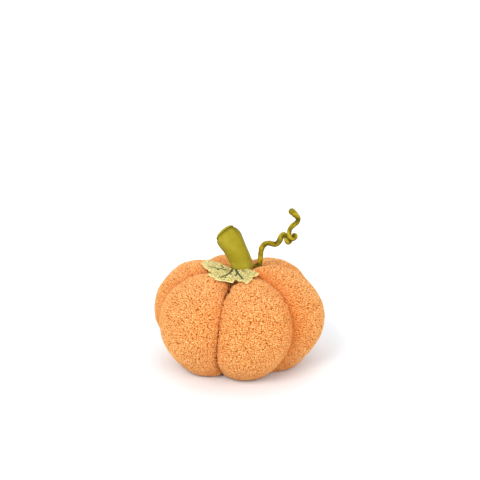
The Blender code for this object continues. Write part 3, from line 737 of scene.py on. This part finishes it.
def make_leaf():
    cad = bpy.data.objects["leaf"] if "leaf" in bpy.data.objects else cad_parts["leaf"]
    mesh = cad.data
    verts = [cad.matrix_world @ v.co for v in mesh.vertices]
    tree = BVHTree.FromPolygons(verts, [tuple(p.vertices) for p in mesh.polygons])
    columns, rings = 430, 62
    edge, at = leaf_outline(columns)
    first, last = (math.radians(v) for v in LEAF_ROOT_ARC)
    # each column starts at the root nearest to its own bearing
    swing = np.unwrap(np.arctan2(edge[:, 0] - LEAF_HUB[0], edge[:, 1] - LEAF_HUB[1]))
    even = np.linspace(0, 1, columns)
    order = np.maximum.accumulate((swing - swing[0]) / (swing[-1] - swing[0]))
    arc = first + (last - first) * (0.35 * even + 0.65 * np.clip(order, 0, 1))
    root = np.stack([LEAF_HUB[0] + LEAF_ROOT * np.sin(arc), LEAF_HUB[1] + LEAF_ROOT * np.cos(arc)], axis=1)
    share = np.linspace(0, 1, rings) ** 0.95
    plan = root[None] * (1 - share)[:, None, None] + edge[None] * share[:, None, None]
    # a small tooth half way along the back edge
    tooth = np.exp(-((share - 0.56) / 0.16) ** 2)[:, None] * np.clip(1 - even / 0.10, 0, 1)[None, :]
    side = (edge[0] - root[0]) / np.linalg.norm(edge[0] - root[0])
    plan = plan + 2.0 * tooth[:, :, None] * np.array([-side[1], side[0]])[None, None, :]
    x, y = plan[..., 0] + AXIS[0], -plan[..., 1] + AXIS[1]
    z = np.zeros_like(x)
    for i in range(rings):
        for j in range(columns):
            hit = tree.ray_cast(Vector((x[i, j] * MM, y[i, j] * MM, 0.3)), Vector((0, 0, -1)))[0]
            if hit is None:
                hit = tree.find_nearest(Vector((x[i, j] * MM, y[i, j] * MM, 0.1225)))[0]
            z[i, j] = hit.z / MM
    for _ in range(14):
        wide = np.pad(z, 1, mode="edge")
        z = (wide[1:-1, 1:-1] * 2 + wide[:-2, 1:-1] + wide[2:, 1:-1] + wide[1:-1, :-2] + wide[1:-1, 2:]) / 6
    # veins
    depth = np.zeros_like(x)
    ink = np.zeros_like(x)
    flat = np.stack([plan[..., 0].reshape(-1), plan[..., 1].reshape(-1)], axis=1)
    for curve, width in vein_paths():
        gap = np.linalg.norm(flat[:, None, :] - curve[None], axis=2)
        k = gap.argmin(axis=1)
        near = gap[np.arange(len(flat)), k]
        ink = np.maximum(ink, np.clip(1.6 - near / (0.5 * width[k]), 0, 1).reshape(x.shape))
        depth = np.maximum(depth, np.exp(-(near / (0.8 * width[k])) ** 2).reshape(x.shape))
    cloud = np.stack([x.reshape(-1), y.reshape(-1), z.reshape(-1)], axis=1)
    ripple = 0.35 * waves(cloud, 17.0, 5).reshape(x.shape) * share[:, None]
    fuzz = 0.09 * waves(cloud, 1.5, 6).reshape(x.shape) + 0.06 * waves(cloud, 2.9, 7).reshape(x.shape)
    crisp = np.clip((share[:, None] - 0.86) / 0.14, 0, 1)
    # the edge stands up a little, most at its tips
    lift = 0.0 * share[:, None] * at[None, :]
    for tip_x, tip_depth, up in ((-45.6, -1.2, 0.5), (20.9, 30.4, 0.3), (6.9, 58.9, 0.3), (-28.0, 45.0, 0.6)):
        away = np.hypot(plan[..., 0] - tip_x, plan[..., 1] - tip_depth)
        lift = np.maximum(lift, up * np.exp(-(away / 9.0) ** 2))
    # and the root stands up against the stem
    front = np.clip(np.cos(arc + math.radians(8.0)), 0, 1) ** 3
    inner = np.hypot(plan[..., 0] - LEAF_HUB[0], plan[..., 1] - LEAF_HUB[1]) - LEAF_ROOT
    lift = lift + 2.1 * np.exp(-np.maximum(inner, 0) / 3.2) * front[None, :]
    curl = lift + 0.30 * share[:, None] ** 3 + 0.3 * crisp ** 2 * np.sin(at[None, :] / 6.0)
    top = z + ripple + fuzz + curl - 0.22 * depth
    low = z + ripple + curl - LEAF_THICK
    # the cut edge is a little ragged and rounded
    ragged = (0.30 * waves(cloud, 2.6, 8) + 0.35 * waves(cloud, 6.5, 18)).reshape(x.shape) * crisp ** 4
    out_x, out_y = plan[..., 0] - LEAF_HUB[0], plan[..., 1] - LEAF_HUB[1]
    size = np.hypot(out_x, out_y)
    x, y = x + ragged * out_x / size, y - ragged * out_y / size
    top[-1] -= 0.28
    low[-1] += 0.28
    top[0] -= 0.28
    low[0] += 0.28
    n = rings * columns
    points = np.concatenate([np.stack([x, y, top], axis=2).reshape(-1, 3), np.stack([x, y, low], axis=2).reshape(-1, 3)])
    i, j = np.meshgrid(np.arange(rings - 1), np.arange(columns - 1), indexing="ij")
    a, b, c, d = (i * columns + j).ravel(), (i * columns + j + 1).ravel(), ((i + 1) * columns + j + 1).ravel(), ((i + 1) * columns + j).ravel()
    tris = [np.stack([a, b, c], 1), np.stack([a, c, d], 1), np.stack([n + a, n + c, n + b], 1), np.stack([n + a, n + d, n + c], 1)]
    loop = list(range(columns)) + [r * columns + columns - 1 for r in range(1, rings)]
    loop += [(rings - 1) * columns + k for k in range(columns - 2, -1, -1)] + [r * columns for r in range(rings - 2, 0, -1)]
    loop = np.array(loop)
    after = np.roll(loop, -1)
    tris += [np.stack([loop, n + after, after], 1), np.stack([loop, n + loop, n + after], 1)]
    tris = np.concatenate(tris)
    thing = mesh_object("leaf_felt", points, outward(points, tris))
    add_value(thing, "ink", np.concatenate([ink.reshape(-1), 0.35 * ink.reshape(-1)]))
    bearing = np.degrees(np.arctan2(out_x, out_y))
    green = 0.7 * soft_step(-60.0, -95.0, bearing) * np.clip(size / 30, 0, 1)
    add_value(thing, "green", np.concatenate([green.reshape(-1), green.reshape(-1)]))
    rim = (crisp ** 3 * np.ones_like(x)).reshape(-1)
    add_value(thing, "rim", np.concatenate([rim, rim]))
    area = 0.0
    pa, pb, pc = (points[np.concatenate(tris[None] if tris.ndim == 3 else [tris])[: 2 * len(a)][:, k]] for k in range(3))
    area = 0.5 * np.linalg.norm(np.cross(pb - pa, pc - pa), axis=1).sum() * 1e-6
    return thing, float(area)


# ----------------------------------------------------------------- tendril
def make_tendril():
    rows = smooth_rows(TENDRIL, 40)
    path = rows[:, :3] * np.array([1.0, -1.0, 1.0]) + np.array([AXIS[0], AXIS[1], 0.0])
    run = np.concatenate([[0], np.cumsum(np.linalg.norm(np.diff(path, axis=0), axis=1))])
    rings, sides = 430, 30
    at = np.linspace(0, run[-1], rings)
    centre = np.stack([np.interp(at, run, path[:, k]) for k in range(3)], axis=1)
    for _ in range(6):
        centre[1:-1] = 0.25 * centre[:-2] + 0.5 * centre[1:-1] + 0.25 * centre[2:]
    radius = np.interp(at, run, rows[:, 3])
    ways = np.gradient(centre, axis=0)
    ways /= np.linalg.norm(ways, axis=1)[:, None]
    curve = np.gradient(ways, at, axis=0)
    side = np.cross(ways[0], [0.0, 1.0, 0.0])
    u, v = [], []
    for way in ways:
        side = side - way * np.dot(side, way)
        side /= np.linalg.norm(side)
        u.append(side)
        v.append(np.cross(way, side))
    u, v = np.array(u), np.array(v)
    theta = 2 * np.pi * np.arange(sides) / sides
    a, s = theta[None, :], at[:, None]
    radial = u[:, None, :] * np.cos(a)[:, :, None] + v[:, None, :] * np.sin(a)[:, :, None]
    inside = np.clip(np.einsum("ijk,ik->ij", radial, curve) * 9.0, 0, 1)
    crease = 0.30 * inside * np.sin(s * 2 * np.pi / 2.1 + 1.1 * np.sin(a * 2 + s * 0.11))
    swell = 0.14 * np.sin(s * 0.41 + 1.0) + 0.10 * np.sin(s * 0.93 + 2 * a) + 0.09 * np.sin(3 * a + s * 0.3)
    twist = (a - 0.9 - 0.035 * s + np.pi) % (2 * np.pi) - np.pi
    seam = 0.34 * np.exp(-(twist * 2.9 / 0.42) ** 2) * (1 + 0.35 * np.sin(s * 2 * np.pi / 1.7))
    own = crease + swell + seam
    # the rounded end
    end = np.clip((at - (at[-1] - 1e-6)) / 1.0, 0, 1)
    size = radius[:, None] + own * np.clip((at[-1] - s) / 3.0, 0.25, 1)
    points = centre[:, None, :] + radial * size[:, :, None]
    dome = []
    for k in range(1, 13):
        t = k / 13 * np.pi / 2
        r = radius[-1] * math.cos(t)
        pull = 1 + 0.05 * np.cos(9 * theta) * math.sin(2 * t)
        ring = (centre[-1] + ways[-1] * radius[-1] * 1.02 * math.sin(t)
                + (u[-1] * np.cos(theta)[:, None] + v[-1] * np.sin(theta)[:, None]) * (r * pull)[:, None])
        dome.append(ring)
    points = np.concatenate([points, np.array(dome)])
    count = len(points)
    grid = points.reshape(-1, 3)
    hubs = np.stack([centre[0], centre[-1] + ways[-1] * radius[-1] * 1.02])
    tris = np.concatenate([tube_faces(count, sides), cap_faces(0, sides, len(grid), True),
                           cap_faces(count - 1, sides, len(grid) + 1, False)])
    points = np.concatenate([grid, hubs])
    thing = mesh_object("tendril_tube", points, outward(points, tris))
    stretch = np.concatenate([at, at[-1] + np.arange(1, 13) * 0.45])
    around = np.repeat((theta * 2.9)[None, :], count, 0).reshape(-1)
    along = np.repeat(stretch[:, None], sides, 1).reshape(-1)
    add_vector(thing, "cloth", np.concatenate([np.stack([around, along, 0 * along], axis=1), np.zeros((2, 3))]))
    # painted light on the outer side of bends, painted shade on their inner side and underneath, and colour that
    # follows the creases, swells and seam with painted shade in their dips
    outside = np.clip(-np.einsum("ijk,ik->ij", radial, curve) * 9.0, 0, 1)
    low = np.clip(-radial[..., 2], 0, 1) ** 1.5
    # lighter along the stalk and near the end, painted shade along the run
    tone = 0.32 * np.exp(-((s - 21.0) / 12.0) ** 2) - 0.20 * np.exp(-((s - 50.0) / 13.0) ** 2)
    tone = tone + 0.22 * np.exp(-((at[-1] - s) / 9.0) ** 2)
    hue = 0.54 + own * 0.9 + tone + 0.25 * outside - 0.55 * inside - 0.70 * low
    fold = np.concatenate([np.clip(hue, 0, 1).reshape(-1), np.full(12 * sides, 0.5), [0.5, 0.5]])
    add_value(thing, "fold", fold)
    return thing


# --------------------------------------------------------------- materials
class Nodes:
    """Short calls for building a node material."""

    def __init__(self, name):
        self.mat = bpy.data.materials.new(name)
        self.mat.use_nodes = True
        self.tree = self.mat.node_tree
        self.shader = next(n for n in self.tree.nodes if n.type == "BSDF_PRINCIPLED")

    def new(self, kind, **values):
        node = self.tree.nodes.new(kind)
        for key, value in values.items():
            if key in node.inputs and not hasattr(node, key):
                node.inputs[key].default_value = value
            else:
                setattr(node, key, value)
        return node

    def link(self, out, into):
        self.tree.links.new(out, into)

    def put(self, node, index, value):
        if hasattr(value, "is_output"):
            self.link(value, node.inputs[index])
        else:
            node.inputs[index].default_value = value

    def math(self, what, a, b=0.0, c=None, clamp=False):
        node = self.new("ShaderNodeMath", operation=what, use_clamp=clamp)
        self.put(node, 0, a)
        self.put(node, 1, b)
        if c is not None:
            self.put(node, 2, c)
        return node.outputs[0]

    def attribute(self, name, kind="Fac"):
        return self.new("ShaderNodeAttribute", attribute_name=name).outputs[kind]

    def noise(self, vector, scale, detail=3.0, rough=0.55):
        node = self.new("ShaderNodeTexNoise")
        node.inputs["Scale"].default_value = scale
        node.inputs["Detail"].default_value = detail
        node.inputs["Roughness"].default_value = rough
        self.link(vector, node.inputs["Vector"])
        return node.outputs["Fac"]

    def cells(self, vector, scale, feature="F1", out="Distance"):
        node = self.new("ShaderNodeTexVoronoi", feature=feature)
        node.inputs["Scale"].default_value = scale
        self.link(vector, node.inputs["Vector"])
        return node.outputs[out]

    def ramp(self, value, stops):
        node = self.new("ShaderNodeValToRGB")
        node.color_ramp.interpolation = "EASE"
        while len(node.color_ramp.elements) < len(stops):
            node.color_ramp.elements.new(0.5)
        for element, (place, colour) in zip(node.color_ramp.elements, stops):
            element.position = place
            element.color = (*colour, 1.0)
        self.link(value, node.inputs[0])
        return node.outputs[0]

    def mix(self, share, a, b, blend="MIX"):
        node = self.new("ShaderNodeMix", data_type="RGBA", blend_type=blend)
        node.clamp_factor = True
        self.put(node, 0, share)
        for index, value in ((6, a), (7, b)):
            if hasattr(value, "is_output"):
                self.link(value, node.inputs[index])
            else:
                node.inputs[index].default_value = (*value, 1.0)
        return node.outputs[2]

    def bump(self, height, strength, distance, before=None):
        node = self.new("ShaderNodeBump")
        node.inputs["Strength"].default_value = strength
        node.inputs["Distance"].default_value = distance
        self.link(height, node.inputs["Height"])
        if before is not None:
            self.link(before, node.inputs["Normal"])
        return node.outputs["Normal"]

    def set(self, **values):
        for key, value in values.items():
            name = key.replace("_", " ")
            self.shader.inputs[name].default_value = value


def object_coords(nodes):
    return nodes.new("ShaderNodeTexCoord").outputs["Object"]


def teddy_material():
    n = Nodes("teddy_cloth")
    here = object_coords(n)
    pile, loop, seam, crown = n.attribute("pile"), n.attribute("loop"), n.attribute("seam"), n.attribute("crown")
    under, shade = n.attribute("under"), n.attribute("shade")
    # curled fibres: swirled noise, finer than the nubs that the mesh carries
    swirl = n.noise(here, 1150.0, 2.0, 0.5)
    n.tree.nodes[-1].inputs["Distortion"].default_value = 2.4
    strands = n.noise(here, 3000.0, 2.0, 0.6)
    patch = n.noise(here, 20.0, 2.0, 0.5)
    # the pile's height sets the colour: painted shade in the gaps between loops and painted light on their tips, a
    # little stronger on the tops; the swirls, strands, loops and patches add tone that differs at random
    calm = n.math("MULTIPLY_ADD", crown, 0.25, 1.08)
    level = n.math("MULTIPLY_ADD", n.math("SUBTRACT", pile, 0.56), calm, 0.56)
    level = n.math("ADD", level, n.math("MULTIPLY", n.math("SUBTRACT", swirl, 0.5), 0.40))
    level = n.math("ADD", level, n.math("MULTIPLY", n.math("SUBTRACT", strands, 0.5), 0.20))
    level = n.math("ADD", level, n.math("MULTIPLY", n.math("SUBTRACT", loop, 0.5), 0.12))
    level = n.math("ADD", level, n.math("MULTIPLY", n.math("SUBTRACT", patch, 0.5), 0.05), clamp=True)
    colour = n.ramp(level, (
        (0.08, (0.33, 0.072, 0.009)),
        (0.30, (0.53, 0.152, 0.027)),
        (0.52, (0.735, 0.282, 0.072)),
        (0.74, (0.835, 0.390, 0.125)),
        (0.94, (0.925, 0.550, 0.226)),
    ))
    # painted shade, deep orange, in the folds by the seams
    colour = n.mix(n.math("MULTIPLY", seam, 0.72), colour, (0.72, 0.180, 0.020))
    # painted shade towards the bottom
    colour = n.mix(n.math("MULTIPLY", under, 0.35), colour, (0.50, 0.150, 0.040))
    # painted light on the tops
    colour = n.mix(n.math("MULTIPLY", crown, 0.10), colour, (0.84, 0.420, 0.185))
    colour = n.mix(n.math("MULTIPLY", shade, 0.92, clamp=True), colour, (0.060, 0.016, 0.005))
    n.link(colour, n.shader.inputs["Base Color"])
    fine = n.math("ADD", n.math("MULTIPLY", swirl, 1.0), n.math("MULTIPLY", strands, 0.35))
    n.link(n.bump(fine, 0.60, 0.0005), n.shader.inputs["Normal"])
    rough = n.math("MULTIPLY_ADD", strands, 0.12, 0.84)
    n.link(rough, n.shader.inputs["Roughness"])
    n.set(Metallic=0.0, IOR=1.4)
    n.shader.inputs["Specular IOR Level"].default_value = 0.15
    n.shader.inputs["Sheen Weight"].default_value = 0.18
    n.shader.inputs["Sheen Roughness"].default_value = 0.55
    n.shader.inputs["Sheen Tint"].default_value = (1.0, 0.60, 0.26, 1.0)
    return n.mat


def woven_material(name, deep, mid, light, pitch, sheen):
    """Plain woven cloth: over-and-under threads, painted light on the folds'
    crests and painted shade in their creases, slubs and a faint unevenness of dye."""
    n = Nodes(name)
    cloth = n.attribute("cloth", "Vector")
    fold = n.attribute("fold")
    here = object_coords(n)
    split = n.new("ShaderNodeSeparateXYZ")
    n.link(cloth, split.inputs[0])
    turn = 2 * math.pi / pitch
    warp = n.math("SINE", n.math("MULTIPLY", split.outputs[0], turn))
    weft = n.math("SINE", n.math("MULTIPLY", split.outputs[1], turn))
    weave = n.math("MULTIPLY_ADD", n.math("MULTIPLY", warp, weft), 0.5, 0.5)
    slub = n.noise(here, 900.0, 3.0, 0.6)
    dye_and_shade = n.noise(here, 120.0, 3.0, 0.55)
    patch = n.noise(here, 38.0, 2.0, 0.5)
    level = n.math("MULTIPLY", fold, 0.46)
    level = n.math("ADD", level, n.math("MULTIPLY", dye_and_shade, 0.34))
    level = n.math("ADD", level, n.math("MULTIPLY", patch, 0.22))
    level = n.math("ADD", level, n.math("MULTIPLY", n.math("SUBTRACT", weave, 0.5), 0.20))
    level = n.math("ADD", level, n.math("MULTIPLY", n.math("SUBTRACT", slub, 0.5), 0.18), clamp=True)
    colour = n.ramp(level, ((0.15, deep), (0.48, mid), (0.85, light)))
    n.link(colour, n.shader.inputs["Base Color"])
    high = n.math("ADD", n.math("MULTIPLY", weave, 0.8), n.math("MULTIPLY", slub, 0.5))
    n.link(n.bump(high, 0.6, 0.00016), n.shader.inputs["Normal"])
    n.link(n.math("MULTIPLY_ADD", slub, 0.2, 0.52), n.shader.inputs["Roughness"])
    n.shader.inputs["Specular IOR Level"].default_value = 0.12
    n.shader.inputs["Sheen Weight"].default_value = sheen
    n.shader.inputs["Sheen Roughness"].default_value = 0.45
    n.shader.inputs["Sheen Tint"].default_value = (0.95, 0.92, 0.6, 1.0)
    return n.mat


def felt_material():
    n = Nodes("leaf_felt")
    here = object_coords(n)
    ink, green = n.attribute("ink"), n.attribute("green")
    rim = n.attribute("rim")
    fibre = n.noise(here, 1500.0, 3.0, 0.65)
    speck = n.noise(here, 520.0, 2.0, 0.55)
    patch = n.noise(here, 90.0, 2.0, 0.5)
    level = n.math("ADD", n.math("MULTIPLY", speck, 0.70), n.math("MULTIPLY", fibre, 0.30))
    level = n.math("ADD", level, n.math("MULTIPLY", rim, 0.10))
    pale = n.ramp(level, ((0.38, (0.11, 0.095, 0.020)), (0.45, (0.38, 0.320, 0.088)), (0.52, (0.62, 0.520, 0.180)),
                          (0.61, (0.88, 0.755, 0.330))))
    grassy = n.ramp(level, ((0.36, (0.25, 0.250, 0.090)), (0.45, (0.52, 0.450, 0.185)), (0.53, (0.74, 0.610, 0.270)),
                            (0.64, (0.90, 0.745, 0.380))))
    share = n.math("MULTIPLY", green, n.math("MULTIPLY_ADD", patch, 0.9, 0.45), clamp=True)
    colour = n.mix(share, pale, grassy)
    edge = n.math("ADD", ink, n.math("MULTIPLY", n.math("SUBTRACT", fibre, 0.5), 0.5))
    line = n.math("MULTIPLY", n.math("SUBTRACT", edge, 0.22), 2.4, clamp=True)
    colour = n.mix(n.math("MULTIPLY", line, 0.97), colour, (0.024, 0.030, 0.006))
    n.link(colour, n.shader.inputs["Base Color"])
    n.link(n.bump(level, 0.9, 0.0004), n.shader.inputs["Normal"])
    n.link(n.math("MULTIPLY_ADD", fibre, 0.1, 0.86), n.shader.inputs["Roughness"])
    n.shader.inputs["Specular IOR Level"].default_value = 0.15
    n.shader.inputs["Sheen Weight"].default_value = 0.1
    n.shader.inputs["Sheen Roughness"].default_value = 0.6
    n.shader.inputs["Sheen Tint"].default_value = (0.95, 0.95, 0.75, 1.0)
    return n.mat


# ------------------------------------------------------------ floor, light
def make_stage():
    n = Nodes("floor")
    here = object_coords(n)
    n.link(n.ramp(n.noise(here, 3.0, 2.0), ((0.3, (0.895, 0.932, 0.962)), (0.7, (0.905, 0.942, 0.972)))),
           n.shader.inputs["Base Color"])
    n.shader.inputs["Roughness"].default_value = 0.9
    n.shader.inputs["Specular IOR Level"].default_value = 0.1
    size = 12.0
    mesh = bpy.data.meshes.new("floor")
    mesh.from_pydata([(-size, -size, 0), (size, -size, 0), (size, size, 0), (-size, size, 0)], [], [(0, 1, 2, 3)])
    floor = bpy.data.objects.new("floor", mesh)
    floor.location.z = FLOOR_Z - 0.0001
    mesh.materials.append(n.mat)
    bpy.context.scene.collection.objects.link(floor)


def wide_light(name, way, spread, strength, colour):
    """Light from far off, soft because it comes from a wide patch of sky."""
    data = bpy.data.lights.new(name, "SUN")
    data.angle = math.radians(spread)
    data.energy = strength
    data.color = colour
    lamp = bpy.data.objects.new(name, data)
    lamp.location = Vector(way) * 2.0
    lamp.rotation_euler = (-Vector(way)).to_track_quat("-Z", "Y").to_euler()
    bpy.context.scene.collection.objects.link(lamp)
    return lamp


def make_light():
    scene = bpy.context.scene
    world = bpy.data.worlds.new("studio")
    world.use_nodes = True
    # bright all round at the horizon, softer overhead
    nodes, links = world.node_tree.nodes, world.node_tree.links
    sky = next(n for n in nodes if n.type == "BACKGROUND")
    where, split, fade = (nodes.new(kind) for kind in ("ShaderNodeTexCoord", "ShaderNodeSeparateXYZ", "ShaderNodeMapRange"))
    links.new(where.outputs["Generated"], split.inputs[0])
    links.new(split.outputs["Z"], fade.inputs["Value"])
    for name, value in (("From Min", 0.10), ("From Max", 0.85), ("To Min", 1.12), ("To Max", 0.54)):
        fade.inputs[name].default_value = value
    links.new(fade.outputs["Result"], sky.inputs["Strength"])
    sky.inputs["Color"].default_value = (1.0, 1.0, 1.0, 1.0)
    scene.world = world
    wide_light("key", (-0.38, -0.66, 0.64), 26.0, 1.50, (1.0, 0.99, 0.98))
    wide_light("fill", (0.40, -0.76, 0.50), 50.0, 1.05, (1.0, 0.995, 0.99))
    wide_light("top", (-0.10, 0.42, 0.90), 60.0, 0.60, (1.0, 1.0, 1.0))
    scene.view_settings.view_transform = "Standard"
    scene.view_settings.look = "None"
    scene.view_settings.exposure = 0.0
    scene.view_settings.gamma = 1.0


# ------------------------------------------------------------------- build
make_camera()
make_stage()
make_light()

teddy = teddy_material()
stem_cloth = woven_material("stem_cloth", (0.13, 0.100, 0.001), (0.29, 0.232, 0.009), (0.38, 0.315, 0.026), 0.62, 0.02)
tendril_cloth = woven_material("tendril_cloth", (0.036, 0.025, 0.001), (0.19, 0.136, 0.001), (0.51, 0.388, 0.016), 0.55, 0.01)
felt = felt_material()

gores = []
for number, row in enumerate(lobe_rows()):
    piece = gore(row, 100 + 13 * number)
    piece.data.materials.append(teddy)
    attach(piece, "root")
    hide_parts(row["name"])
    gores.append(piece)

stem = make_stem()
stem.data.materials.append(stem_cloth)
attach(stem, "root")
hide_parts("stem")

stem_end = make_stem_end()
stem_end.data.materials.append(stem_cloth)
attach(stem_end, "root")
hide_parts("stem_end")

leaf, leaf_area = make_leaf()
leaf.data.materials.append(felt)
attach(leaf, "root")
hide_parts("leaf")

tendril = make_tendril()
tendril.data.materials.append(tendril_cloth)
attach(tendril, "root")
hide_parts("tendril")

total = 0
for thing in gores + [stem, stem_end, leaf, tendril]:
    thing.data.calc_loop_triangles()
    total += len(thing.data.loop_triangles)
    print("triangles", thing.name, len(thing.data.loop_triangles))
print("triangles in all", total, "leaf area", round(leaf_area, 6))
